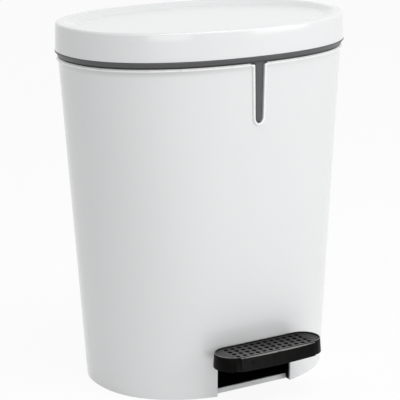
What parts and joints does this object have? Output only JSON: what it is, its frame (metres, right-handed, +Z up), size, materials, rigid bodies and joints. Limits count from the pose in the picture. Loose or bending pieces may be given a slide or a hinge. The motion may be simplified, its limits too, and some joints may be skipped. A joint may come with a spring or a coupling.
{
  "type": "pedal trash can",
  "caption": "Oval step-on waste bin with a hinged dished lid, grey rim band with a front tongue, black foot pedal, push-rod linkage and lift-out inner bucket with a wire bail",
  "frame": {"origin": "on the floor, at the middle of the overall box in plan, between the pedal's front and the hinge's back", "axes": "+Z up, -Y towards the pedal and the user, +X to the right seen from the front"},
  "size_m": [0.3706, 0.3098, 0.4448],
  "materials": {
    "white_gloss": "glossy white moulded plastic",
    "grey_satin": "satin mid-grey moulded plastic",
    "black_satin": "satin black moulded plastic",
    "dark_rubber": "dark grey perforated anti-slip insert",
    "grey_plastic": "light grey moulded plastic",
    "steel": "drawn steel wire and pins"
  },
  "bodies": {
    "bin": {"outer_shell": "white_gloss", "rim_collar": "grey_satin", "lid_hinge_pin": "steel", "base_plate": "white_gloss", "pedal_housing": "black_satin", "pedal_axle": "steel", "axle_clip_left": "steel", "axle_clip_right": "steel", "rod_guide_lower": "black_satin", "rod_guide_upper": "black_satin", "base_screw_1": "steel", "base_screw_2": "steel", "base_screw_3": "steel", "base_screw_4": "steel", "housing_screw_1": "steel", "housing_screw_2": "steel", "housing_screw_3": "steel", "housing_screw_4": "steel"},
    "lid": {"lid_shell": "white_gloss", "lid_crank": "black_satin", "crank_screw_1": "steel", "crank_screw_2": "steel"},
    "push_rod": {"push_rod": "steel", "push_rod_foot": "black_satin"},
    "pedal": {"pedal_lever": "black_satin", "pedal_shell": "black_satin", "pedal_tread": "dark_rubber", "pedal_screw_1": "steel", "pedal_screw_2": "steel"},
    "bucket": {"inner_bucket": "grey_plastic"},
    "bail": {"bucket_bail": "steel", "bail_grip": "black_satin"}
  },
  "joints": [
    {"name": "lid_hinge", "type": "hinge", "parent": "bin", "child": "lid", "pos_m": [0, 0.14986, 0.409], "axis": [-1, 0, 0], "range_deg": [0, 75]},
    {"name": "rod_slide", "type": "slide", "parent": "bin", "child": "push_rod", "axis": [0, 0, 1], "range_m": [0, 0.0369]},
    {"name": "pedal_hinge", "type": "hinge", "parent": "bin", "child": "pedal", "pos_m": [0, -0.01464, 0.025], "axis": [1, 0, 0], "range_deg": [0, 15]},
    {"name": "bucket_lift", "type": "slide", "parent": "bin", "child": "bucket", "axis": [0, 0, 1], "range_m": [0, 0.004]},
    {"name": "bail_swing", "type": "hinge", "parent": "bucket", "child": "bail", "pos_m": [0, 0.00468, 0.418], "axis": [-1, 0, 0], "range_deg": [0, 4]}
  ],
  "couplings": [
    {"joint": "rod_slide", "follows": "lid_hinge", "m_per_rad": 0.028137},
    {"joint": "pedal_hinge", "follows": "lid_hinge", "ratio": 0.19867}
  ]
}
